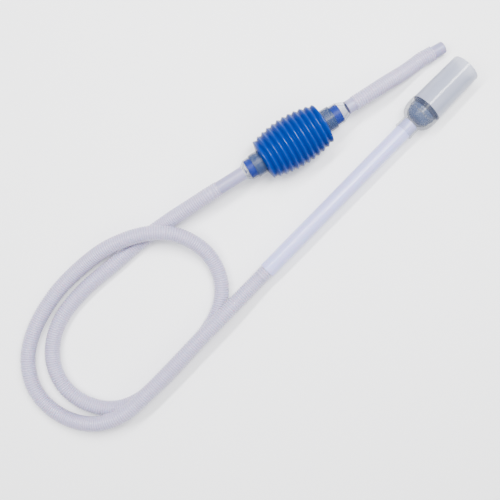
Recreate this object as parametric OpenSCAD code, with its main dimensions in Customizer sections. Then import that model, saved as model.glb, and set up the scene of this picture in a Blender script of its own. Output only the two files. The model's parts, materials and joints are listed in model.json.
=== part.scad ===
// Gravel vacuum siphon for an aquarium: a wide clear gravel tube on a strainer head,
// a straight pipe, a long ribbed hose, a bellows hand pump with two one-way valves
// and a short outlet hose. It lies on a flat surface at z = 0, with +X along the
// straight pipe towards the mouth of the gravel tube. All sizes are in millimetres.

/* [Gravel tube] */
// Length of the gravel tube from the head's rim to its mouth
tube_length = 58.5; // [40:0.1:90]
// Outside diameter of the gravel tube where it meets the head
tube_od = 34.6; // [28:0.1:46]
// Outside diameter of the gravel tube at its mouth
mouth_od = 31.8; // [26:0.1:44]
// Wall of the gravel tube at its mouth
mouth_wall = 1.5; // [1.2:0.05:2]
// Length of the straight bore behind the mouth
mouth_land = 14; // [8:0.1:20]
// Depth of the socket that slides over the head's spigot
tube_socket = 9; // [6:0.1:14]
// Wall of the gravel tube around its socket
socket_wall = 1.4; // [1.1:0.05:2]

/* [Siphon head] */
// Step from the gravel tube's outside out to the head's skirt
skirt_step = 0.4; // [0.2:0.05:1]
// Wall of the dome at the neck
head_wall = 1.6; // [1.2:0.1:2]
// Length of the straight skirt
skirt_length = 6.5; // [5:0.1:10]
// Length of the dome behind the skirt
dome_length = 14; // [11:0.1:24]
// Length of the neck that holds the pipe
neck_length = 13.5; // [11:0.1:24]
// Wall of the neck
neck_wall = 1.45; // [1:0.05:2]
// Depth to which the pipe goes into the neck
pipe_insert = 11; // [8:0.1:14]
// Wall of the spigot that the gravel tube slides over
spigot_wall = 1.2; // [1:0.05:1.8]

/* [Strainer] */
// Wall of the strainer basket
basket_wall = 1.2; // [0.9:0.05:1.6]
// Depth of the ledge that the basket rests on, behind the head's rim
basket_seat = 7; // [5:0.1:9]
// Length of the basket's flange
flange_length = 2.5; // [2:0.1:4]
// Number of rings of slots
slot_rings = 4; // [3:1:5]
// Width of a slot along the basket's outline
slot_width = 1.7; // [1.2:0.1:2.1]
// Length of a slot around the basket
slot_length = 2.2; // [1.4:0.1:2.8]
// Distance from slot to slot around the basket
slot_spacing = 3.5; // [3:0.1:5]

/* [Straight pipe] */
// Outside diameter of the pipe
pipe_od = 17; // [14:0.1:21]
// Wall of the pipe
pipe_wall = 1.5; // [1:0.05:2]
// Length of pipe that shows between the head and the hose
pipe_show = 200; // [150:1:260]

/* [Hoses] */
// Outside diameter of the ribbed hoses
hose_od = 16; // [13:0.1:20]
// Wall of the ribbed hoses, from rib top to bore
hose_wall = 1.4; // [1:0.05:1.8]
// Step from the ribbed hose in to its smooth end cuffs
cuff_step = 1; // [0.8:0.05:1.4]
// Wall of the smooth end cuffs
cuff_wall = 1.4; // [1:0.05:1.8]
// Length of the cuff that shows at the pump's inlet
inlet_cuff_show = 29.8; // [20:0.1:36]
// Length of the cuff that shows at the pump's outlet
outlet_cuff_show = 8.5; // [6:0.1:16]
// Length of the cuff that sits in the pipe's end
pipe_cuff_depth = 20; // [12:0.5:30]
// Length of the spigot by which a cuff holds the hose
cuff_tail = 6; // [4:0.1:8]
// Wall of that spigot
tail_wall = 0.8; // [0.6:0.05:1]
// Outside diameter of the outlet tip
tip_od = 13; // [10:0.1:16]
// Length of the outlet tip
tip_length = 13.5; // [10:0.1:20]
// Wall of the outlet tip
tip_wall = 1.7; // [1.2:0.05:2.2]
// Rounding of the tip's free end
tip_round = 1.2; // [0.6:0.1:1.6]

/* [Bellows] */
// Number of ridges
ridge_count = 12; // [8:1:16]
// Distance from ridge to ridge
ridge_pitch = 6.3; // [5:0.05:8]
// Diameter over the middle ridges
bellows_od = 54.8; // [45:0.1:66]
// Room between the collar and the folds above it
collar_room = 4.05; // [2.5:0.05:5]
// Depth of a fold from ridge to groove
fold_depth = 2.4; // [1.8:0.1:3.6]
// Wall of the bellows, measured along the radius
bellows_wall = 1.5; // [1.2:0.1:1.8]
// Length of each shoulder outside its end ridge
shoulder_length = 2.5; // [2:0.1:4]
// Length of the collar that holds a neck
collar_length = 6.2; // [5:0.1:8]

/* [Pump ends] */
// Outside diameter of the clear necks
pump_neck_od = 24.6; // [20:0.1:30]
// Wall of the clear necks
pump_neck_wall = 1.6; // [1.2:0.05:2]
// Length of neck that shows outside the bellows
pump_neck_show = 10; // [8:0.1:14]
// Length of the coupler that sits in the neck
coupler_insert = 6; // [4:0.1:7.5]
// Depth of the seat that is cut into the neck's wall for the coupler
coupler_recess = 0.4; // [0.2:0.05:0.6]
// Wall of the couplers
coupler_wall = 1.1; // [0.9:0.05:1.3]
// Length of the inlet valve seat, the blue band that shows through the coupler
inlet_band = 7; // [5.8:0.1:10]
// Length of the outlet valve seat
outlet_band = 8.5; // [6.5:0.1:10]
// Length of the inlet coupler's cone
inlet_cone = 5.5; // [4.5:0.1:10]
// Length of the outlet coupler's cone
outlet_cone = 9; // [5:0.1:12]
// Longest nipple that a cuff is pushed over
nipple_length = 13; // [10:0.1:16]

/* [Valves] */
// Wall of the valve seats
seat_wall = 1.1; // [0.9:0.05:1.4]
// Gap between the edge of a valve disc and the seat around it
disc_gap = 1.4; // [1:0.05:2]
// Distance by which a valve disc reaches past its ports
disc_cover = 1.1; // [0.8:0.05:1.5]
// Thickness of the valve disc
valve_disc_thickness = 1.2; // [0.8:0.1:1.4]
// Diameter of the valve stem
valve_stem_od = 2.4; // [1.8:0.1:2.8]
// Diameter of the clip on the stem's end
valve_clip_od = 5.2; // [4.4:0.1:6]
// Thickness of the clip
valve_clip_thickness = 0.7; // [0.5:0.05:1]
// Distance by which a valve lifts
valve_lift = 2.4; // [1.5:0.05:3]

/* [Layout] */
// Angle between the pump and the straight pipe, seen from above
pump_angle = 13.5; // [0:0.5:20]
// Distance along the pipe from the middle of the straight set back to the pump's middle
pump_back = 31; // [20:0.5:50]
// Distance from the pipe's axis across to the pump's middle
pump_gap = 73; // [60:0.5:90]
// Angle between the outlet tip and the straight pipe, seen from above
tip_angle = 16; // [0:1:30]

/* [Fits] */
// Radial clearance between pieces that are pushed together
push_clear = 0.05; // [0.02:0.01:0.1]
// Radial clearance of a valve stem in its hub
stem_clear = 0.06; // [0.03:0.01:0.1]
// Gap between end faces that seat on each other
seat_gap = 0.2; // [0.05:0.05:0.4]

/* [Hidden] */
$fn = 96;

clear_plastic = [0.80, 0.84, 0.88, 0.45];
smoky_plastic = [0.45, 0.52, 0.64, 0.6];
milky_plastic = [0.80, 0.80, 0.88];
bellows_blue = [0.03, 0.35, 0.73];
valve_blue = [0.16, 0.26, 0.62];
valve_rubber = [0.92, 0.92, 0.90];

// Small steps that pieces share.
join = 0.2;  // how far two shapes of one piece run into each other
chamfer = 0.3;
lip = 0.5;

// Straight set: stations run along its axis from the head's rim, + towards the mouth.
tube_r = tube_od / 2;
mouth_r = mouth_od / 2;
mouth_bore_r = mouth_r - mouth_wall;
head_r = tube_r + skirt_step;
pipe_r = pipe_od / 2;
pipe_bore_r = pipe_r - pipe_wall;
neck_bore_r = pipe_r + push_clear;
neck_r = neck_bore_r + neck_wall;
neck_start = -skirt_length - dome_length;
neck_end = neck_start - neck_length;
pipe_stop = neck_end + pipe_insert;
pipe_end = neck_end - pipe_show;
tube_socket_r = tube_r - socket_wall;
spigot_r = tube_socket_r - push_clear;
basket_bore_r = spigot_r - spigot_wall;
rim_x = -(pipe_end - cuff_tail + tube_length) / 2;

// Strainer basket: a dome that follows the inside of the head's dome.
throat_step = 0.2;
ledge_step = 0.6;
basket_gap = 0.5;
throat_r = pipe_bore_r + throat_step;
throat_start = neck_start + head_wall;
ledge_r = basket_bore_r - ledge_step;
flange_r = basket_bore_r - push_clear;
basket_r = ledge_r - basket_gap;
basket_end_r = throat_r - basket_wall - basket_gap;
basket_end = throat_start + basket_wall + throat_step;

// Pump: stations run along its axis from the bellows' middle, + towards the outlet.
first_ridge = (ridge_count - 1) * ridge_pitch / 2;
mouth_station = first_ridge + shoulder_length;
pump_neck_r = pump_neck_od / 2;
collar_bore_r = pump_neck_r + push_clear;
collar_r = collar_bore_r + bellows_wall;
bellows_end_r = collar_r + collar_room + bellows_wall + fold_depth;
collar_end = mouth_station - collar_length;
neck_outer_end = mouth_station + pump_neck_show;
coupler_r = pump_neck_r - pump_neck_wall + coupler_recess - push_clear;
coupler_bore_r = coupler_r - coupler_wall;
coupler_start = neck_outer_end - coupler_insert;
seat_r = coupler_bore_r - push_clear;
seat_bore_r = seat_r - seat_wall;
disc_r = seat_bore_r - disc_gap;
port_r = disc_r - disc_cover;
cuff_r = hose_od / 2 - cuff_step;
cuff_bore_r = cuff_r - cuff_wall;
nipple_r = cuff_bore_r - push_clear;
inlet_cone_end = neck_outer_end + inlet_band + inlet_cone;
outlet_cone_end = neck_outer_end + outlet_band + outlet_cone;
inlet_cuff_end = inlet_cone_end + inlet_cuff_show;
outlet_cuff_end = outlet_cone_end + outlet_cuff_show;
seat_web = 1.5;
valve_seat_gap = 0.05;
inlet_web = -neck_outer_end - inlet_band;
outlet_web = neck_outer_end;

// Hoses.
hose_r = hose_od / 2;
hose_bore_r = hose_r - hose_wall;
hose_sides = 10;
spline_steps = 2;
tail_r = hose_bore_r * cos(180 / hose_sides) - push_clear;
tail_bore_r = tail_r - tail_wall;
lead = cuff_tail + 1;
tip_r = tip_od / 2;
tip_bore_r = tip_r - tip_wall;

// Places: everything rests on z = 0, and the pieces other than the hoses are centred on the origin.
function ridge_x(i) = i * ridge_pitch - first_ridge;
function ridge_r(i) = bellows_od / 2
    - (bellows_od / 2 - bellows_end_r) * pow(ridge_x(i) / first_ridge, 2);
pump_side = max(concat(
    [for (i = [0 : ridge_count - 1]) ridge_r(i) * cos(pump_angle) - ridge_x(i) * sin(pump_angle)],
    [inlet_cuff_end * sin(pump_angle) + cuff_r * cos(pump_angle)]
));
wand_y = (head_r - pump_gap - pump_side) / 2;
wand_z = max(head_r, mouth_r);
pump_x = -pump_back;
pump_y = wand_y + pump_gap;
pump_z = bellows_od / 2;
pump_centre = [pump_x, pump_y, pump_z];
pump_dir = [cos(pump_angle), -sin(pump_angle), 0];
tip_dir = [cos(tip_angle), -sin(tip_angle), 0];
tip_place = [138.5, -7.5, max(hose_r, tip_r)];

// Routes of the two hoses. Each leaves its fittings straight along their axes, and lies
// on the surface except where it comes down from the pump or passes over itself.
inlet_end = pump_centre - inlet_cuff_end * pump_dir;
outlet_end = pump_centre + outlet_cuff_end * pump_dir;
pipe_end_place = [rim_x + pipe_end, wand_y, wand_z];
function leave(place, dir) = [place, place + lead * dir, place + 2 * lead * dir];
function arrive(place, dir) = [place - 2 * lead * dir, place - lead * dir, place];
long_route = concat(leave(inlet_end, -pump_dir), [
    [-156, 60.5, 22.2], [-184, 67.5, 11], [-214, 72.5, 8], [-248, 75.5, 8], [-288, 79, 8],
    [-323, 76.5, 8], [-350, 65.5, 8], [-369, 46, 8], [-377, 21, 8], [-373, -5, 8],
    [-359, -27, 8], [-336, -40.5, 8], [-305, -44.5, 8], [-265, -44, 8], [-227, -41, 8],
    [-200.5, -31, 8], [-182.5, -13, 8], [-174, 11, 11.8], [-176.5, 36.5, 20.2],
    [-188, 58.5, 25], [-209, 76.5, 25], [-241, 91, 20.6], [-277, 97.5, 12],
    [-314, 97.5, 8.3], [-351, 89, 8], [-380, 73, 8], [-398, 49, 8], [-403, 21, 8],
    [-395.5, -6, 12], [-377, -28, 20], [-349, -40.5, 24.4], [-313, -43, 24.6],
    [-275, -43, 24.6], [-244, -42.5, 24.6], [-214, -42.5, 24.4], [-184, -42.5, 21.3]
], arrive(pipe_end_place, [1, 0, 0]));
outlet_route = concat(leave(outlet_end, pump_dir), [
    [66, 7.5, 26], [80, 4.5, 22.4], [94, 1.5, 16.2], [108, -1.2, 10.8]
], arrive(tip_place, tip_dir));

// Places a piece that is modelled along +Z on the straight set's axis.
module on_wand() {
    translate([rim_x, wand_y, wand_z]) rotate([0, 90, 0]) children();
}

// Places a piece that is modelled along +Z on the pump's axis.
module on_pump() {
    translate(pump_centre) rotate([0, 90, -pump_angle]) children();
}

// A plain ring between two radii and two stations.
module ring(r_out, r_in, from, to) {
    translate([0, 0, from]) difference() {
        cylinder(r = r_out, h = to - from);
        translate([0, 0, -1]) cylinder(r = r_in, h = to - from + 2);
    }
}

// A quarter of an ellipse from [r0, z0] back to [r1, z1], square to the axis at its end.
function quarter(r0, z0, r1, z1, steps = 10) = [
    for (i = [0 : steps]) [r1 + (r0 - r1) * cos(90 * i / steps), z0 + (z1 - z0) * sin(90 * i / steps)]
];

module gravel_tube() {
    ledge = 0.6;
    socket_end = tube_socket + seat_gap;
    color(clear_plastic) on_wand() rotate_extrude() polygon([
        [tube_socket_r, seat_gap], [tube_r - lip / 2, seat_gap], [tube_r, seat_gap + lip],
        [mouth_r, tube_length - lip], [mouth_r - lip, tube_length],
        [mouth_bore_r, tube_length], [mouth_bore_r, tube_length - mouth_land],
        [tube_socket_r - ledge, socket_end], [tube_socket_r, socket_end]
    ]);
}

// A dome-shaped basket with a flange, closed at its end and slotted all round.
module strainer() {
    inner_r = basket_r - basket_wall;
    inner_end_r = basket_end_r - basket_wall / 2;
    outside = quarter(basket_r, -basket_seat, basket_end_r, basket_end);
    inside = quarter(inner_r, -basket_seat, inner_end_r, basket_end + basket_wall);
    color(smoky_plastic) on_wand() difference() {
        rotate_extrude() polygon(concat(
            [[0, basket_end]],
            [for (i = [len(outside) - 1 : -1 : 0]) outside[i]],
            [[flange_r, -basket_seat], [flange_r, flange_length - basket_seat],
             [inner_r, flange_length - basket_seat]],
            inside,
            [[0, basket_end + basket_wall]]
        ));
        for (k = [0 : slot_rings - 1]) slot_circle((k + 0.7) * 90 / (slot_rings + 0.5));
    }
}

// One ring of slots through the basket, at an angle around its quarter ellipse.
module slot_circle(angle) {
    r = basket_end_r + (basket_r - basket_end_r) * cos(angle);
    z = -basket_seat + (basket_end + basket_seat) * sin(angle);
    count = floor(2 * PI * r / slot_spacing);
    for (i = [0 : count - 1]) rotate([0, 0, i * 360 / count]) translate([r, 0, z])
        rotate([0, angle, 0]) cube([4 * basket_wall, slot_length, slot_width], center = true);
}

module siphon_head() {
    bead_length = 1.6;
    spigot_end = tube_socket - seat_gap;
    outside = quarter(head_r, -skirt_length, neck_r, neck_start);
    inside = quarter(ledge_r, -basket_seat, throat_r, throat_start);
    color(clear_plastic) on_wand() rotate_extrude() polygon(concat(
        [[basket_bore_r, spigot_end], [spigot_r - chamfer, spigot_end],
         [spigot_r, spigot_end - chamfer], [spigot_r, 0], [head_r - chamfer, 0], [head_r, -chamfer]],
        outside,
        [[neck_r, neck_end + bead_length + lip], [neck_r + lip, neck_end + bead_length],
         [neck_r + lip, neck_end], [neck_bore_r, neck_end], [neck_bore_r, pipe_stop],
         [throat_r, pipe_stop]],
        [for (i = [len(inside) - 1 : -1 : 0]) inside[i]],
        [[basket_bore_r, -basket_seat]]
    ));
}

module straight_pipe() {
    color(milky_plastic) on_wand() ring(pipe_r, pipe_bore_r, pipe_end, pipe_stop);
}

// A smooth cuff from one station to another, with a thinner spigot that holds the hose.
module cuff(r_out, r_in, from, to, tail_to) {
    ring(r_out, r_in, min(from, to), max(from, to));
    ring(tail_r, tail_bore_r, min(to, tail_to), max(to, tail_to));
}

module pipe_cuff() {
    plug_r = pipe_bore_r - push_clear;
    color(milky_plastic) on_wand() cuff(plug_r, min(tail_bore_r, plug_r - tail_wall),
        pipe_end + pipe_cuff_depth, pipe_end, pipe_end - cuff_tail);
}

module inlet_cuff() {
    color(milky_plastic) on_pump() cuff(cuff_r, cuff_bore_r,
        -inlet_cone_end, -inlet_cuff_end, -inlet_cuff_end - cuff_tail);
}

module outlet_cuff() {
    color(milky_plastic) on_pump() cuff(cuff_r, cuff_bore_r,
        outlet_cone_end, outlet_cuff_end, outlet_cuff_end + cuff_tail);
}

module outlet_tip() {
    round_r = min(tip_round, tip_wall - lip);
    color(milky_plastic) translate(tip_place) rotate([0, 90, -tip_angle]) {
        rotate_extrude() polygon(concat(
            [[tip_bore_r, 0], [tip_r, 0]],
            [for (a = [0 : 15 : 90])
                [tip_r - round_r + round_r * cos(a), tip_length - round_r + round_r * sin(a)]],
            [[tip_bore_r, tip_length]]
        ));
        ring(tail_r, tip_bore_r, -cuff_tail, 0);
    }
}

// The bellows: a barrel of sharp folds between two shoulders, with a collar inside each end.
module pump_bellows() {
    ridges = [for (i = [0 : ridge_count - 1]) [ridge_r(i), ridge_x(i)]];
    folds = [for (i = [0 : 2 * (ridge_count - 1)]) i % 2 == 0 ? ridges[i / 2] : [
        min(ridges[(i - 1) / 2][0], ridges[(i + 1) / 2][0]) - fold_depth,
        (ridges[(i - 1) / 2][1] + ridges[(i + 1) / 2][1]) / 2
    ]];
    inner = [for (i = [len(folds) - 1 : -1 : 0]) [folds[i][0] - bellows_wall, folds[i][1]]];
    shoulder_in = mouth_station - bellows_wall;
    color(bellows_blue) on_pump() rotate_extrude() polygon(concat(
        [[collar_bore_r, -mouth_station], [collar_r, -mouth_station]],
        folds,
        [[collar_r, mouth_station], [collar_bore_r, mouth_station],
         [collar_bore_r, collar_end], [collar_r, collar_end], [collar_r, shoulder_in]],
        inner,
        [[collar_r, -shoulder_in], [collar_r, -collar_end], [collar_bore_r, -collar_end]]
    ));
}

// A clear neck on the + side: a bead inside the bellows, a plain barrel and a socket.
module pump_neck() {
    bead_length = 1.2;
    bead_gap = 0.1;
    bead_r = collar_r - chamfer;
    bead_end = collar_end - bead_gap;
    neck_bore_r = pump_neck_r - pump_neck_wall;
    difference() {
        union() {
            ring(pump_neck_r, neck_bore_r, bead_end - bead_length, neck_outer_end);
            ring(bead_r, neck_bore_r, bead_end - bead_length, bead_end);
        }
        translate([0, 0, coupler_start - bead_gap])
            cylinder(r = coupler_r + push_clear, h = coupler_insert + 1);
    }
}

module inlet_neck() {
    color(clear_plastic) on_pump() mirror([0, 0, 1]) pump_neck();
}

module outlet_neck() {
    color(clear_plastic) on_pump() pump_neck();
}

// A clear coupler on the + side: a barrel around the valve seat, a cone and a barbed nipple,
// which ends short of the cuff's spigot.
module coupler(band, cone, cuff_show) {
    cone_start = neck_outer_end + band;
    cone_end = cone_start + cone;
    nipple_room = 1;
    nipple_end = cone_end + min(nipple_length, cuff_show - nipple_room);
    bore_r = nipple_r - coupler_wall;
    stop = 1;
    stop_length = 0.4;
    stop_r = coupler_bore_r - stop;
    barb = 0.04;
    barb_pitch = 3;
    rotate_extrude() polygon([
        [coupler_bore_r, coupler_start], [coupler_r, coupler_start], [coupler_r, cone_start],
        [cuff_r, cone_end - seat_gap], [nipple_r, cone_end - seat_gap],
        [nipple_r, nipple_end - 2 * barb_pitch], [nipple_r + barb, nipple_end - 2 * barb_pitch],
        [nipple_r - chamfer, nipple_end - barb_pitch], [nipple_r + barb, nipple_end - barb_pitch],
        [nipple_r - chamfer, nipple_end], [bore_r, nipple_end],
        [bore_r, cone_end - stop], [stop_r, cone_start + stop_length],
        [stop_r, cone_start], [coupler_bore_r, cone_start]
    ]);
}

module inlet_coupler() {
    color(clear_plastic) on_pump() mirror([0, 0, 1])
        coupler(inlet_band, inlet_cone, inlet_cuff_show);
}

module outlet_coupler() {
    color(clear_plastic) on_pump() coupler(outlet_band, outlet_cone, outlet_cuff_show);
}

// A valve seat whose web stands at its upstream end: a ring, a hub and four arms.
module valve_seat(web, band) {
    hub_wall = 1.4;
    arm = 1.6;
    difference() {
        union() {
            ring(seat_r, seat_bore_r, web, web + band - seat_gap / 2);
            translate([0, 0, web]) cylinder(r = seat_bore_r + join, h = seat_web);
        }
        translate([0, 0, web - 1]) linear_extrude(seat_web + 2) difference() {
            circle(r = port_r);
            circle(r = valve_stem_od / 2 + hub_wall);
            for (a = [0, 90]) rotate([0, 0, a]) square([2 * seat_r, arm], center = true);
        }
        translate([0, 0, web - 1]) cylinder(r = valve_stem_od / 2 + stem_clear, h = seat_web + 2);
    }
}

module inlet_valve_seat() {
    color(valve_blue) on_pump() valve_seat(inlet_web, inlet_band);
}

module outlet_valve_seat() {
    color(valve_blue) on_pump() valve_seat(outlet_web, outlet_band);
}

// A valve disc on the downstream face of a web, with its stem through the hub.
module valve_disc(web) {
    stem_r = valve_stem_od / 2;
    face = web + seat_web + valve_seat_gap;
    stem_end = web - valve_lift - valve_clip_thickness - valve_seat_gap - chamfer;
    rotate_extrude() polygon([
        [0, stem_end], [stem_r - chamfer, stem_end], [stem_r, stem_end + chamfer],
        [stem_r, face], [disc_r, face], [disc_r, face + valve_disc_thickness / 2],
        [disc_r / 2, face + valve_disc_thickness], [0, face + valve_disc_thickness]
    ]);
}

module inlet_valve_disc() {
    color(valve_rubber) on_pump() valve_disc(inlet_web);
}

module outlet_valve_disc() {
    color(valve_rubber) on_pump() valve_disc(outlet_web);
}

// The clip that stops a valve stem under the hub when the disc is fully lifted.
module valve_clip(web) {
    top = web - valve_lift - valve_seat_gap;
    clip_grip = 0.02;
    ring(valve_clip_od / 2, valve_stem_od / 2 + clip_grip, top - valve_clip_thickness, top);
}

module inlet_valve_clip() {
    color(valve_blue) on_pump() valve_clip(inlet_web);
}

module outlet_valve_clip() {
    color(valve_blue) on_pump() valve_clip(outlet_web);
}

// Catmull-Rom points through a route, kept no lower than the hose's own radius.
function spline_point(a, b, c, d, t) =
    0.5 * (2 * b + (c - a) * t + (2 * a - 5 * b + 4 * c - d) * pow(t, 2)
        + (3 * b - a - 3 * c + d) * pow(t, 3));
function lifted(p) = [p[0], p[1], max(p[2], hose_r)];
function spline(route) = let (n = len(route)) concat(
    [for (i = [0 : n - 2], s = [0 : spline_steps - 1]) lifted(spline_point(
        route[max(i - 1, 0)], route[i], route[i + 1], route[min(i + 2, n - 1)], s / spline_steps))],
    [route[n - 1]]
);
function unit(v) = v / norm(v);

// Direction of the path at ring i.
function path_dir(path, i) = unit(path[min(i + 1, len(path) - 1)] - path[max(i - 1, 0)]);

// The corners of ring i at radius r, with one corner straight down.
function hose_ring(path, i, r) = let (
    along = path_dir(path, i),
    side = unit(cross([0, 0, 1], along)),
    up = cross(along, side)
) [for (k = [0 : hose_sides - 1]) let (a = 360 * k / hose_sides)
    path[i] + r * (sin(a) * side - cos(a) * up)];

// Two triangles for each panel between ring a and ring b, which start at these point numbers.
function panels(a, b, flip) = [for (k = [0 : hose_sides - 1], half = [0, 1])
    let (m = (k + 1) % hose_sides,
         tri = half == 0 ? [a + k, b + k, b + m] : [a + k, b + m, a + m])
    flip ? [tri[2], tri[1], tri[0]] : tri];

// A hollow hose swept along a route, with flat ends.
module hose(route) {
    path = spline(route);
    rings = len(path);
    inner = rings * hose_sides;
    polyhedron(
        points = concat(
            [for (i = [0 : rings - 1]) each hose_ring(path, i, hose_r)],
            [for (i = [0 : rings - 1]) each hose_ring(path, i, hose_bore_r)]
        ),
        faces = concat(
            [for (i = [0 : rings - 2]) each panels(i * hose_sides, (i + 1) * hose_sides, false)],
            [for (i = [0 : rings - 2])
                each panels(inner + i * hose_sides, inner + (i + 1) * hose_sides, true)],
            panels(0, inner, true),
            panels(inner - hose_sides, 2 * inner - hose_sides, false)
        ),
        convexity = 12
    );
}

module long_hose() {
    color(milky_plastic) hose(long_route);
}

module outlet_hose() {
    color(milky_plastic) hose(outlet_route);
}

gravel_tube();
strainer();
siphon_head();
straight_pipe();
pipe_cuff();
long_hose();
inlet_cuff();
inlet_coupler();
inlet_valve_seat();
inlet_valve_disc();
inlet_valve_clip();
inlet_neck();
pump_bellows();
outlet_neck();
outlet_valve_seat();
outlet_valve_disc();
outlet_valve_clip();
outlet_coupler();
outlet_cuff();
outlet_hose();
outlet_tip();
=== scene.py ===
import json
import math

import bmesh
import bpy
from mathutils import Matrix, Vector


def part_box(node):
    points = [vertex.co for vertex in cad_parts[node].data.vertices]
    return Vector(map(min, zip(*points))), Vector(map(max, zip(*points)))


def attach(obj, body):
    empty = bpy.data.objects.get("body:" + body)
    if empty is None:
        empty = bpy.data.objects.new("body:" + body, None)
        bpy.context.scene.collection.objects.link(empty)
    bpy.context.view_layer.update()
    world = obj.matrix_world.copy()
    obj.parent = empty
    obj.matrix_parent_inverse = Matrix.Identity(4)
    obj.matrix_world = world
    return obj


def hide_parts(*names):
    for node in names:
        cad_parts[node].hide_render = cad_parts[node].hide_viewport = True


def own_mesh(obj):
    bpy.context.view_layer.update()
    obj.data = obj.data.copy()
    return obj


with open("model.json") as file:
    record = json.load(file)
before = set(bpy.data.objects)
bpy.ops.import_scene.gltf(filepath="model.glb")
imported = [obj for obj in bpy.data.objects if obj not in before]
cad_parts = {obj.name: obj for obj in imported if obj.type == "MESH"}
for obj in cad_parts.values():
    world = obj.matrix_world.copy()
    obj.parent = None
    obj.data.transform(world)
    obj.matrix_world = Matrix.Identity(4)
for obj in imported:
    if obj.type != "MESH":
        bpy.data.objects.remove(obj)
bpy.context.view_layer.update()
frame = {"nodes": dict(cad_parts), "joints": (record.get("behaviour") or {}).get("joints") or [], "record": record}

cadNodes = frame["nodes"]
mounts = {mount["name"]: mount for mount in frame["record"]["mounts"]}
joints = {joint["name"]: joint for joint in frame["joints"]}


class Wire:
    # a value in a node tree: arithmetic on it adds Math nodes
    def __init__(self, tree, socket):
        self.tree = tree
        self.socket = socket

    def maths(self, operation, first, second=0.0):
        node = self.tree.nodes.new("ShaderNodeMath")
        node.operation = operation
        feed(self.tree, node.inputs[0], first)
        feed(self.tree, node.inputs[1], second)
        return Wire(self.tree, node.outputs[0])

    def __add__(self, other):
        return self.maths("ADD", self, other)

    def __radd__(self, other):
        return self.maths("ADD", other, self)

    def __sub__(self, other):
        return self.maths("SUBTRACT", self, other)

    def __rsub__(self, other):
        return self.maths("SUBTRACT", other, self)

    def __mul__(self, other):
        return self.maths("MULTIPLY", self, other)

    def __rmul__(self, other):
        return self.maths("MULTIPLY", other, self)

    def __truediv__(self, other):
        return self.maths("DIVIDE", self, other)

    def __rtruediv__(self, other):
        return self.maths("DIVIDE", other, self)

    def __pow__(self, other):
        return self.maths("POWER", self, other)

    def __rpow__(self, other):
        return self.maths("POWER", other, self)

    def cosine(self):
        return self.maths("COSINE", self)

    def rounded(self):
        return self.maths("ROUND", self)


def feed(tree, socket, value):
    if isinstance(value, Wire):
        tree.links.new(value.socket, socket)
    elif socket.type == "RGBA":
        socket.default_value = (*value, 1.0)
    else:
        socket.default_value = value


def addNode(tree, kind, settings=None, inputs=None, out=0):
    node = tree.nodes.new(kind)
    for name, value in (settings or {}).items():
        setattr(node, name, value)
    for name, value in (inputs or {}).items():
        feed(tree, node.inputs[name], value)
    return Wire(tree, node.outputs[out]) if len(node.outputs) else None


def startFinish(name):
    material = bpy.data.materials.new(name)
    material.use_nodes = True
    material.node_tree.nodes.clear()
    return material, material.node_tree


def coordinates(tree, stretch=None):
    # the piece's own coordinates; a stretch packs a pattern more closely along an axis
    place = addNode(tree, "ShaderNodeTexCoord", out="Object")
    if stretch is None:
        return place
    return addNode(tree, "ShaderNodeMapping", inputs={"Vector": place, "Scale": stretch})


def noise(tree, scale, stretch=None):
    return addNode(tree, "ShaderNodeTexNoise", inputs={
        "Vector": coordinates(tree, stretch), "Scale": scale, "Detail": 3.0}, out="Fac")


def mixed(tree, share, first, second):
    # by number, since a Mix node has sockets of the same names for numbers and for colours
    return addNode(tree, "ShaderNodeMix", {"data_type": "RGBA"},
                   {0: share, 6: first, 7: second}, out=2)


def bump(tree, height, depth, strength=1.0):
    return addNode(tree, "ShaderNodeBump", inputs={
        "Height": height, "Distance": depth, "Strength": strength})


plasticIor = 1.46
clearEdge = {"blend": 0.35, "power": 2.0}  # how narrow the denser edge of a clear piece is


def edgeShare(tree):
    # 0 where a surface faces the eye, 1 along its outline
    facing = addNode(tree, "ShaderNodeLayerWeight", inputs={
        "Blend": clearEdge["blend"]}, out="Facing")
    return facing ** clearEdge["power"]


def endFinish(tree, colour, roughness, normal=None, alpha=None, others=None):
    # others holds more of the shader's sockets by name
    links = {"Base Color": colour, "Roughness": roughness}
    if normal is not None:
        links["Normal"] = normal
    if alpha is not None:
        links["Alpha"] = alpha
    shader = addNode(tree, "ShaderNodeBsdfPrincipled", inputs={**links, **(others or {})})
    addNode(tree, "ShaderNodeOutputMaterial", inputs={"Surface": shader})


tubeLooks = {
    "light": (0.44, 0.46, 0.57), "dark": (0.32, 0.35, 0.47),
    "flowScale": 3.0, "flowStretch": (6, 40, 40), "mistScale": 60.0,
    "alpha": 0.58, "haze": 0.16, "edge": 0.30,
    "roughness": 0.12, "roughSpread": 0.10, "ripple": 0.00010,
    "transmission": 0.15, "coat": 0.4,
}


def tubeFinish():
    # gravel tube: translucent, with faint flow lines along its length
    material, tree = startFinish("translucent tube")
    flow = noise(tree, tubeLooks["flowScale"], tubeLooks["flowStretch"])
    mist = noise(tree, tubeLooks["mistScale"])
    colour = mixed(tree, flow, tubeLooks["light"], tubeLooks["dark"])
    rough = mist * tubeLooks["roughSpread"] + tubeLooks["roughness"]
    alpha = (flow * tubeLooks["haze"] + tubeLooks["alpha"]
             + edgeShare(tree) * tubeLooks["edge"])
    endFinish(tree, colour, rough, bump(tree, flow, tubeLooks["ripple"]), alpha, {
        "Transmission Weight": tubeLooks["transmission"], "IOR": plasticIor,
        "Coat Weight": tubeLooks["coat"]})
    return material


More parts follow.
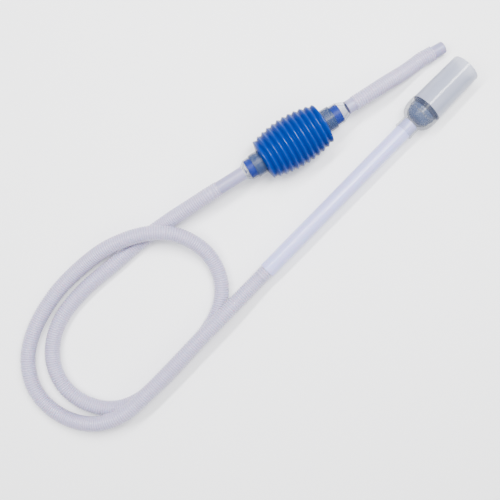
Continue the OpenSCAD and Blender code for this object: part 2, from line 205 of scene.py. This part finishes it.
neckLooks = {
    "light": (0.04, 0.07, 0.17), "dark": (0.02, 0.04, 0.11),
    "swirlScale": 45.0, "mistScale": 180.0,
    "alpha": 0.42, "haze": 0.12, "edge": 0.35, "gloss": 0.25,
    "roughness": 0.20, "roughSpread": 0.08, "ripple": 0.00010, "rippleStrength": 0.4,
}
couplerLooks = {
    "light": (0.06, 0.09, 0.21), "dark": (0.04, 0.06, 0.15),
    "swirlScale": 45.0, "mistScale": 180.0,
    "alpha": 0.07, "haze": 0.05, "edge": 0.70, "gloss": 0.15,
    "roughness": 0.24, "roughSpread": 0.08, "ripple": 0.00008, "rippleStrength": 0.4,
}


def clearFinish(name, looks):
    # clear moulded plastic with a faint swirl
    material, tree = startFinish(name)
    swirl = noise(tree, looks["swirlScale"])
    mist = noise(tree, looks["mistScale"])
    colour = mixed(tree, swirl, looks["light"], looks["dark"])
    rough = mist * looks["roughSpread"] + looks["roughness"]
    ripple = bump(tree, mist, looks["ripple"], looks["rippleStrength"])
    alpha = swirl * looks["haze"] + looks["alpha"] + edgeShare(tree) * looks["edge"]
    endFinish(tree, colour, rough, ripple, alpha, {
        "IOR": plasticIor, "Specular IOR Level": looks["gloss"]})
    return material


headLooks = {
    "clear": (0.20, 0.22, 0.30), "smoky": (0.050, 0.065, 0.120),
    "swirlScale": 45.0, "mistScale": 180.0,
    "alpha": 0.07, "haze": 0.05, "smoke": 0.05, "edge": 0.80,
    "smokeStart": 0.0115, "smokeEnd": 0.0165,  # metres from the neck's end
    "roughness": 0.10, "roughSpread": 0.08, "ripple": 0.00010, "rippleStrength": 0.4,
}


def headFinish():
    # siphon head: clear at the neck, smoky over the dome
    material, tree = startFinish("smoky clear housing")
    swirl = noise(tree, headLooks["swirlScale"])
    mist = noise(tree, headLooks["mistScale"])
    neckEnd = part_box("siphon_head")[0].x
    station = addNode(tree, "ShaderNodeSeparateXYZ", inputs={"Vector": coordinates(tree)}, out="X")
    smoke = addNode(tree, "ShaderNodeMapRange", {"interpolation_type": "SMOOTHSTEP"}, {
        "Value": station, "From Min": neckEnd + headLooks["smokeStart"],
        "From Max": neckEnd + headLooks["smokeEnd"]})
    colour = mixed(tree, smoke, headLooks["clear"], headLooks["smoky"])
    rough = mist * headLooks["roughSpread"] + headLooks["roughness"]
    ripple = bump(tree, mist, headLooks["ripple"], headLooks["rippleStrength"])
    alpha = (swirl * headLooks["haze"] + smoke * headLooks["smoke"]
             + edgeShare(tree) * headLooks["edge"] + headLooks["alpha"])
    endFinish(tree, colour, rough, ripple, alpha, {"IOR": plasticIor})
    return material


smokyLooks = {
    "light": (0.240, 0.310, 0.500), "dark": (0.100, 0.140, 0.250),
    "swirlScale": 90.0, "mistScale": 300.0, "alpha": 0.33, "haze": 0.10,
    "roughness": 0.12, "roughSpread": 0.10, "ripple": 0.00010, "rippleStrength": 0.4,
}


def smokyFinish():
    # strainer basket: smoky blue-grey
    material, tree = startFinish("smoky plastic")
    swirl = noise(tree, smokyLooks["swirlScale"])
    mist = noise(tree, smokyLooks["mistScale"])
    colour = mixed(tree, swirl, smokyLooks["light"], smokyLooks["dark"])
    rough = mist * smokyLooks["roughSpread"] + smokyLooks["roughness"]
    ripple = bump(tree, mist, smokyLooks["ripple"], smokyLooks["rippleStrength"])
    alpha = swirl * smokyLooks["haze"] + smokyLooks["alpha"]
    endFinish(tree, colour, rough, ripple, alpha, {"IOR": plasticIor})
    return material


pipeLooks = {
    "light": (0.46, 0.47, 0.80), "dark": (0.37, 0.38, 0.69),
    "streakScale": 6.0, "streakStretch": (3, 160, 160), "streakShare": 0.5,
    "cloudScale": 25.0, "cloudShare": 0.5,
    "roughness": 0.17, "roughSpread": 0.14, "streak": 0.00010, "streakStrength": 0.5,
    "glow": 0.25, "glowDepth": 0.004, "coat": 0.15,
}


def pipeFinish():
    # extruded pipe: fine streaks along its length
    material, tree = startFinish("milky pipe")
    streak = noise(tree, pipeLooks["streakScale"], pipeLooks["streakStretch"])
    cloud = noise(tree, pipeLooks["cloudScale"])
    shade = streak * pipeLooks["streakShare"] + cloud * pipeLooks["cloudShare"]
    colour = mixed(tree, shade, pipeLooks["light"], pipeLooks["dark"])
    rough = streak * pipeLooks["roughSpread"] + pipeLooks["roughness"]
    streaks = bump(tree, streak, pipeLooks["streak"], pipeLooks["streakStrength"])
    endFinish(tree, colour, rough, streaks, None, {
        "Subsurface Weight": pipeLooks["glow"], "Subsurface Scale": pipeLooks["glowDepth"],
        "Coat Weight": pipeLooks["coat"]})
    return material


hoseLooks = {
    # rib is the hose's own colour; groove is that colour darkened as painted shade for the grooves
    "rib": (0.43, 0.40, 0.56), "groove": (0.30, 0.28, 0.41),
    "cloudScale": 30.0, "grainScale": 700.0, "grooveShadeShare": 0.8, "cloudShare": 0.3,
    "roughness": 0.18, "grainRough": 0.12, "cloudRough": 0.08,
    "grain": 0.00008, "grainStrength": 0.5,
    "glow": 0.2, "glowDepth": 0.003, "coat": 0.1,
}


def hoseFinish():
    # ribbed hose: the grooves are painted darker as shade, with a fine grain
    material, tree = startFinish("milky ribbed hose")
    groove = addNode(tree, "ShaderNodeAttribute", {"attribute_name": "groove"}, out="Fac")
    cloud = noise(tree, hoseLooks["cloudScale"])
    grain = noise(tree, hoseLooks["grainScale"])
    # painted shade: darker in the grooves, plus random cloudy tone
    shade = groove * hoseLooks["grooveShadeShare"] + cloud * hoseLooks["cloudShare"]
    colour = mixed(tree, shade, hoseLooks["rib"], hoseLooks["groove"])
    rough = (grain * hoseLooks["grainRough"] + cloud * hoseLooks["cloudRough"]
             + hoseLooks["roughness"])
    grains = bump(tree, grain, hoseLooks["grain"], hoseLooks["grainStrength"])
    endFinish(tree, colour, rough, grains, None, {
        "Subsurface Weight": hoseLooks["glow"], "Subsurface Scale": hoseLooks["glowDepth"],
        "Coat Weight": hoseLooks["coat"]})
    return material


cuffLooks = {
    "light": (0.28, 0.27, 0.43), "dark": (0.22, 0.21, 0.35),
    "cloudScale": 40.0, "grainScale": 500.0,
    "roughness": 0.26, "roughSpread": 0.16, "grain": 0.00008, "grainStrength": 0.5,
    "glow": 0.2, "glowDepth": 0.003,
}
seatLooks = {
    "light": (0.004, 0.020, 0.240), "dark": (0.002, 0.012, 0.160),
    "cloudScale": 120.0, "grainScale": 600.0,
    "roughness": 0.23, "roughSpread": 0.15, "grain": 0.00006, "grainStrength": 0.4,
    "gloss": 0.1,
}
flapLooks = {
    "light": (0.82, 0.82, 0.80), "dark": (0.66, 0.66, 0.64),
    "cloudScale": 150.0, "grainScale": 800.0,
    "roughness": 0.5, "roughSpread": 0.2, "grain": 0.00008, "grainStrength": 0.5,
}


def grainedFinish(name, looks, others=None):
    # solid moulded plastic or rubber: slightly cloudy, with a fine grain
    material, tree = startFinish(name)
    cloud = noise(tree, looks["cloudScale"])
    grain = noise(tree, looks["grainScale"])
    colour = mixed(tree, cloud, looks["light"], looks["dark"])
    rough = grain * looks["roughSpread"] + looks["roughness"]
    grains = bump(tree, grain, looks["grain"], looks["grainStrength"])
    endFinish(tree, colour, rough, grains, None, others)
    return material


def cuffFinish():
    return grainedFinish("soft cuff", cuffLooks, {
        "Subsurface Weight": cuffLooks["glow"], "Subsurface Scale": cuffLooks["glowDepth"]})


def seatFinish():
    return grainedFinish("blue valve seat", seatLooks, {"Specular IOR Level": seatLooks["gloss"]})


def flapFinish():
    return grainedFinish("soft valve flap", flapLooks)


bellowsLooks = {
    # crest is the blue itself; fold is that blue darkened as painted shade for the creases
    "crest": (0.000, 0.026, 0.190), "fold": (0.000, 0.010, 0.110),
    "cloudScale": 35.0, "grainScale": 420.0, "foldShadeShare": 0.85, "cloudShare": 0.15,
    "roughness": 0.20, "roughSpread": 0.10, "grain": 0.00010, "grainStrength": 0.3,
    "gloss": 0.03, "polish": 1.00, "polishNarrowness": 24.0, "polishRoughness": 0.16,
}


def bellowsFinish():
    # soft blue plastic: painted shade makes the folds darker, and the crests are polished by handling
    material, tree = startFinish("blue bellows")
    fold = addNode(tree, "ShaderNodeAttribute", {"attribute_name": "fold"}, out="Fac")
    cloud = noise(tree, bellowsLooks["cloudScale"])
    grain = noise(tree, bellowsLooks["grainScale"])
    # painted shade: darker the deeper a place lies in a fold, plus random cloudy tone
    shade = fold * bellowsLooks["foldShadeShare"] + cloud * bellowsLooks["cloudShare"]
    colour = mixed(tree, shade, bellowsLooks["crest"], bellowsLooks["fold"])
    crest = (1.0 - fold) ** bellowsLooks["polishNarrowness"]
    rough = grain * bellowsLooks["roughSpread"] + bellowsLooks["roughness"]
    grains = bump(tree, grain, bellowsLooks["grain"], bellowsLooks["grainStrength"])
    endFinish(tree, colour, rough, grains, None, {
        "Specular IOR Level": bellowsLooks["gloss"],
        "Coat Weight": crest * bellowsLooks["polish"],
        "Coat Roughness": bellowsLooks["polishRoughness"]})
    return material


floorLooks = {
    "light": (0.95, 0.95, 0.95), "dark": (0.92, 0.92, 0.93),
    "cloudScale": 4.0, "roughness": 0.7, "roughSpread": 0.1,
}


def floorFinish():
    material, tree = startFinish("pale floor")
    cloud = noise(tree, floorLooks["cloudScale"])
    colour = mixed(tree, cloud, floorLooks["light"], floorLooks["dark"])
    endFinish(tree, colour, cloud * floorLooks["roughSpread"] + floorLooks["roughness"])
    return material


finishes = {
    "tube": tubeFinish(),
    "clear_plastic": headFinish(),
    "neck": clearFinish("clear neck", neckLooks),
    "coupler": clearFinish("clear coupler", couplerLooks),
    "smoky_plastic": smokyFinish(),
    "pipe_plastic": pipeFinish(),
    "hose_plastic": hoseFinish(),
    "cuff_plastic": cuffFinish(),
    "bellows_plastic": bellowsFinish(),
    "valve_plastic": seatFinish(),
    "valve_rubber": flapFinish(),
}
print("finishes made:", len(finishes))


camera = {
    "place": (-0.14025, -0.01515, 0.840),
    "turn": -45.6,  # degrees about Z, so that the straight set runs up to the right
    "lens": 57.6,  # in millimetres, as the sensor is
    "sensor": 36,
    "clipStart": 0.01,
}


def makeCamera():
    data = bpy.data.cameras.new("camera")
    data.lens = camera["lens"]
    data.sensor_width = camera["sensor"]
    data.clip_start = camera["clipStart"]
    holder = bpy.data.objects.new("camera", data)
    bpy.context.scene.collection.objects.link(holder)
    holder.location = camera["place"]
    holder.rotation_euler = (0, 0, math.radians(camera["turn"]))
    bpy.context.scene.camera = holder


makeCamera()
print("camera set")


def middle(node):
    low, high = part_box(node)
    return (low + high) / 2


pumpCentre = middle("pump_bellows")
pumpDir = -Vector(joints["pump_squeeze"]["axis"])  # towards the outlet
tipDir = Vector(mounts["tip_outside"]["axis"])
pipeMiddle = middle("straight_pipe")
pipeEnd = Vector((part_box("straight_pipe")[0].x, pipeMiddle.y, pipeMiddle.z))


hose = {
    "radius": 0.008,
    "inletEnd": 0.08945,  # from the pump's middle along its axis to each hose
    "outletEnd": 0.07315,
    "tipPlace": (0.1385, -0.0075, 0.008),  # where the outlet hose meets its tip
    "lead": 0.007,  # straight steps on each fitting's axis
    "leadPoints": 3,
    "ribPitch": 0.0024,
    "ribDepth": 0.0008,
    "ribSharpness": 1.4,  # above 1 the grooves are narrower than the ribs
    "ribSteps": 6,
    "sides": 24,
    "splineSteps": 14,
    "longMiddle": [  # in millimetres, from the inlet round both loops to the pipe
        (-156, 60.5, 22.2), (-184, 67.5, 11), (-214, 72.5, 8), (-248, 75.5, 8), (-288, 79, 8),
        (-323, 76.5, 8), (-350, 65.5, 8), (-369, 46, 8), (-377, 21, 8), (-373, -5, 8),
        (-359, -27, 8), (-336, -40.5, 8), (-305, -44.5, 8), (-265, -44, 8), (-227, -41, 8),
        (-200.5, -31, 8), (-182.5, -13, 8), (-174, 11, 11.8), (-176.5, 36.5, 20.2),
        (-188, 58.5, 25), (-209, 76.5, 25), (-241, 91, 20.6), (-277, 97.5, 12),
        (-314, 97.5, 8.3), (-351, 89, 8), (-380, 73, 8), (-398, 49, 8), (-403, 21, 8),
        (-395.5, -6, 12), (-377, -28, 20), (-349, -40.5, 24.4), (-313, -43, 24.6),
        (-275, -43, 24.6), (-244, -42.5, 24.6), (-214, -42.5, 24.4), (-184, -42.5, 21.3),
    ],
    "outletMiddle": [(66, 7.5, 26), (80, 4.5, 22.4), (94, 1.5, 16.2), (108, -1.2, 10.8)],
}


def inMetres(points):
    return [Vector(point) / 1000 for point in points]


def smoothRoute(points):
    # Catmull-Rom through the points, no lower than the hose's own radius
    path = []
    steps = hose["splineSteps"]
    for i in range(len(points) - 1):
        a, b = points[max(i - 1, 0)], points[i]
        c, d = points[i + 1], points[min(i + 2, len(points) - 1)]
        for step in range(steps):
            t = step / steps
            place = 0.5 * (2 * b + (c - a) * t + (2 * a - 5 * b + 4 * c - d) * t ** 2
                           + (3 * b - a - 3 * c + d) * t ** 3)
            place.z = max(place.z, hose["radius"])
            path.append(place)
    path.append(points[-1])
    return path


def routeLength(path):
    return sum((b - a).length for a, b in zip(path, path[1:]))


def ribbedHoseTree():
    tree = bpy.data.node_groups.new("ribbed hose", "GeometryNodeTree")
    tree.interface.new_socket("Route", in_out="INPUT", socket_type="NodeSocketGeometry")
    for name in ("Outer Radius", "Rib Pitch", "Rib Depth", "Rib Sharpness"):
        tree.interface.new_socket(name, in_out="INPUT", socket_type="NodeSocketFloat")
    for name in ("Steps Per Rib", "Sides"):
        tree.interface.new_socket(name, in_out="INPUT", socket_type="NodeSocketInt")
    tree.interface.new_socket("Finish", in_out="INPUT", socket_type="NodeSocketMaterial")
    tree.interface.new_socket("Hose", in_out="OUTPUT", socket_type="NodeSocketGeometry")
    given = tree.nodes.new("NodeGroupInput")

    def value(name):
        return Wire(tree, given.outputs[name])

    curve = addNode(tree, "GeometryNodeMeshToCurve", inputs={"Mesh": value("Route")})
    length = addNode(tree, "GeometryNodeCurveLength", inputs={"Curve": curve})
    ribs = (length / value("Rib Pitch")).rounded()
    rings = addNode(tree, "GeometryNodeResampleCurve", {"mode": "COUNT"}, {
        "Curve": curve, "Count": ribs * value("Steps Per Rib") + 1})
    phase = addNode(tree, "GeometryNodeInputIndex") / value("Steps Per Rib")
    groove = ((1 - (phase * (2 * math.pi)).cosine()) / 2) ** value("Rib Sharpness")
    # stored so that the hose's finish can paint shade into the grooves
    marked = addNode(tree, "GeometryNodeStoreNamedAttribute", {"data_type": "FLOAT"}, {
        "Geometry": rings, "Name": "groove", "Value": groove})
    outline = addNode(tree, "GeometryNodeCurvePrimitiveCircle", inputs={
        "Resolution": value("Sides"), "Radius": 1.0})
    skin = addNode(tree, "GeometryNodeCurveToMesh", inputs={
        "Curve": marked, "Profile Curve": outline, "Fill Caps": True,
        "Scale": value("Outer Radius") - groove * value("Rib Depth")})
    smooth = addNode(tree, "GeometryNodeSetShadeSmooth", inputs={"Geometry": skin})
    whole = addNode(tree, "GeometryNodeRealizeInstances", inputs={"Geometry": smooth})
    coated = addNode(tree, "GeometryNodeSetMaterial", inputs={
        "Geometry": whole, "Material": value("Finish")})
    result = tree.nodes.new("NodeGroupOutput")
    tree.links.new(coated.socket, result.inputs["Hose"])
    return tree


def plainMesh(name, holder):
    # the result of a modifier as a mesh of its own
    bpy.context.view_layer.update()
    evaluated = holder.evaluated_get(bpy.context.evaluated_depsgraph_get())
    mesh = bpy.data.meshes.new_from_object(evaluated)
    holder.modifiers.clear()
    bpy.data.objects.remove(holder)
    piece = bpy.data.objects.new(name, mesh)
    bpy.context.scene.collection.objects.link(piece)
    return piece


def makeHose(name, path, tree):
    line = bpy.data.meshes.new(name + "_route")
    line.from_pydata(path, [(i, i + 1) for i in range(len(path) - 1)], [])
    holder = bpy.data.objects.new(name + "_route", line)
    bpy.context.scene.collection.objects.link(holder)
    modifier = holder.modifiers.new("ribs", "NODES")
    modifier.node_group = tree
    values = {
        "Outer Radius": hose["radius"], "Rib Pitch": hose["ribPitch"],
        "Rib Depth": hose["ribDepth"], "Rib Sharpness": hose["ribSharpness"],
        "Steps Per Rib": hose["ribSteps"], "Sides": hose["sides"],
        "Finish": finishes["hose_plastic"],
    }
    for item in tree.interface.items_tree:
        if item.in_out == "INPUT" and item.name in values:
            modifier[item.identifier] = values[item.name]
    piece = plainMesh(name, holder)
    print(name, "faces", len(piece.data.polygons), "length", round(routeLength(path), 3))
    return piece


def makeHoses():
    tree = ribbedHoseTree()
    leads = [hose["lead"] * k for k in range(hose["leadPoints"])]
    along = Vector((1, 0, 0))
    inletEnd = pumpCentre - pumpDir * hose["inletEnd"]
    outletEnd = pumpCentre + pumpDir * hose["outletEnd"]
    tipPlace = Vector(hose["tipPlace"])

    longPath = smoothRoute(
        [inletEnd - pumpDir * lead for lead in leads]
        + inMetres(hose["longMiddle"])
        + [pipeEnd - along * lead for lead in reversed(leads)])
    piece = makeHose("ribbed_long_hose", longPath, tree)
    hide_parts("long_hose")
    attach(piece, "siphon")
    routeLength(longPath)

    outletPath = smoothRoute(
        [outletEnd + pumpDir * lead for lead in leads]
        + inMetres(hose["outletMiddle"])
        + [tipPlace - tipDir * lead for lead in reversed(leads)])
    piece = makeHose("ribbed_outlet_hose", outletPath, tree)
    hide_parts("outlet_hose")
    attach(piece, "outlet_end")
    routeLength(outletPath)


makeHoses()
print("hoses made")


bellows = {
    "ridges": 12,
    "pitch": 0.0063,
    "middleRadius": 0.0274,
    "endRadius": 0.0218,
    "foldDepth": 0.0022,
    "wall": 0.0013,
    "shoulder": 0.0025,
    "mouthRadius": 0.01385,
    "collarRadius": 0.0124,
    "collarLength": 0.0062,
    "crestRound": 0.00045,
    # steps along and in from a crest, and along and out from a groove, in crestRounds
    "crestSteps": ((-1.6, 1.0), (-0.7, 0.25), (0.0, 0.0), (0.7, 0.25), (1.6, 1.0)),
    "grooveSteps": ((-1.2, 0.6), (0.0, 0.0), (1.2, 0.6)),
    # the fold attribute runs from 0 on a crest to 1 in a groove; in the finish it paints shade into the folds and
    # masks the crests' coat
    "crestFlankFold": 0.12,
    "grooveFlankLoss": 0.2,
    "mouthFold": 0.6,
    "sides": 96,
    "squeezed": 0.664,  # of its length, with the pump squeezed
}


def foldedOutline():
    # (station, radius, fold) along the outside, from the inlet to the outlet
    first = (bellows["ridges"] - 1) * bellows["pitch"] / 2
    drop = bellows["middleRadius"] - bellows["endRadius"]
    mouth = first + bellows["shoulder"]
    small = bellows["crestRound"]

    def crestRadius(station):
        return bellows["middleRadius"] - drop * (station / first) ** 2

    outside = [(-mouth, bellows["mouthRadius"], bellows["mouthFold"])]
    for i in range(bellows["ridges"]):
        station = i * bellows["pitch"] - first
        crest = crestRadius(station)
        for shift, fall in bellows["crestSteps"]:
            outside.append((station + shift * small, crest - fall * small,
                            bellows["crestFlankFold"] * fall))
        if i < bellows["ridges"] - 1:
            groove = station + bellows["pitch"] / 2
            nextCrest = crestRadius(station + bellows["pitch"])
            bottom = (crest + nextCrest) / 2 - bellows["foldDepth"]
            for shift, rise in bellows["grooveSteps"]:
                outside.append((groove + shift * small, bottom + rise * small,
                                1.0 - bellows["grooveFlankLoss"] * rise))
    outside.append((mouth, bellows["mouthRadius"], bellows["mouthFold"]))
    return outside, first, mouth, crestRadius


def closedOutline():
    # the outside, then back along the inside: a collar, the inner wall, the other collar
    outside, first, mouth, crestRadius = foldedOutline()
    wall = bellows["wall"]
    collarEnd = mouth - bellows["collarLength"]
    inside = [(mouth, bellows["collarRadius"], 1.0),
              (collarEnd, bellows["collarRadius"], 1.0),
              (collarEnd, bellows["mouthRadius"], 1.0),
              (mouth - wall, bellows["mouthRadius"], 1.0)]
    for i in reversed(range(2 * bellows["ridges"] - 1)):
        station = i * bellows["pitch"] / 2 - first
        deep = bellows["foldDepth"] if i % 2 else 0.0
        inside.append((station, crestRadius(station) - deep - wall, 1.0))
    inside += [(-station, radius, fold) for station, radius, fold in inside[3::-1]]
    return outside + inside


def turned(name, points, centre, axis, sides):
    # a closed outline of (station, radius, fold) points, turned about an axis
    side = axis.cross(Vector((0, 0, 1))).normalized()
    up = side.cross(axis).normalized()
    shell = bmesh.new()
    mark = shell.verts.layers.float.new("fold")
    rings = []
    for station, radius, share in points:
        ring = []
        for k in range(sides):
            angle = 2 * math.pi * k / sides
            out = side * math.cos(angle) + up * math.sin(angle)
            vert = shell.verts.new(centre + axis * station + out * radius)
            vert[mark] = share
            ring.append(vert)
        rings.append(ring)
    for one, other in zip(rings, rings[1:] + rings[:1]):
        for k in range(sides):
            n = (k + 1) % sides
            face = shell.faces.new((one[k], other[k], other[n], one[n]))
            face.smooth = True
    bmesh.ops.recalc_face_normals(shell, faces=shell.faces)
    mesh = bpy.data.meshes.new(name)
    shell.to_mesh(mesh)
    shell.free()
    piece = bpy.data.objects.new(name, mesh)
    bpy.context.scene.collection.objects.link(piece)
    return piece


def makeBellows():
    points = closedOutline()
    piece = turned("folded_bellows", points, pumpCentre, pumpDir, bellows["sides"])
    piece.data.materials.append(finishes["bellows_plastic"])
    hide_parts("pump_bellows")
    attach(piece, "siphon")
    anchor = pumpCentre + pumpDir * points[0][0]  # the inlet's mouth
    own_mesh(piece)


makeBellows()
print("bellows made")


specialFinish = {  # the other pieces take their slot's finish
    "gravel_tube": "tube",
    "inlet_neck": "neck", "outlet_neck": "neck",
    "inlet_coupler": "coupler", "outlet_coupler": "coupler",
}


def coatNodes():
    for part in frame["record"]["subparts"]:
        name = part["node"]
        slots = cadNodes[name].data.materials
        slots.clear()
        slots.append(finishes[specialFinish.get(name, part["material_slot"])])


coatNodes()
print("carried-over pieces coated")


floor = {"half": 3.0, "squares": 12}


def makeFloor():
    sheet = bmesh.new()
    squares = floor["squares"]
    bmesh.ops.create_grid(sheet, x_segments=squares, y_segments=squares, size=floor["half"])
    mesh = bpy.data.meshes.new("floor")
    sheet.to_mesh(mesh)
    sheet.free()
    mesh.materials.append(floorFinish())
    piece = bpy.data.objects.new("floor", mesh)
    bpy.context.scene.collection.objects.link(piece)


lights = {
    # place, power in watts, and length along X and width in metres
    "key": ((-0.13, 0.45, 1.30), 9.0, 1.80, 1.10),
    "fill": ((-0.13, -0.70, 1.20), 10.0, 1.60, 0.90),
    "tube strip": ((0.36, 0.01, 1.15), 24.0, 0.70, 0.28),
    "pump strip": ((-0.20, 0.46, 1.10), 24.0, 1.20, 0.10),
}


def makeLights():
    for name, (place, power, length, width) in lights.items():
        data = bpy.data.lights.new(name, "AREA")
        data.energy = power
        data.shape = "RECTANGLE"
        data.size = length
        data.size_y = width
        lamp = bpy.data.objects.new(name, data)
        bpy.context.scene.collection.objects.link(lamp)
        lamp.location = place
        # turned only about X, to face the X axis: its length stays along X
        lamp.rotation_euler = (-math.atan2(place[1], place[2]), 0, 0)


studio = {"colour": (0.93, 0.95, 1.0, 1.0), "strength": 0.57}


def makeStudio():
    world = bpy.data.worlds.new("studio")
    world.use_nodes = True
    background = world.node_tree.nodes["Background"]
    background.inputs["Color"].default_value = studio["colour"]
    background.inputs["Strength"].default_value = studio["strength"]
    bpy.context.scene.world = world


makeFloor()
makeLights()
makeStudio()
print("floor and lights made")
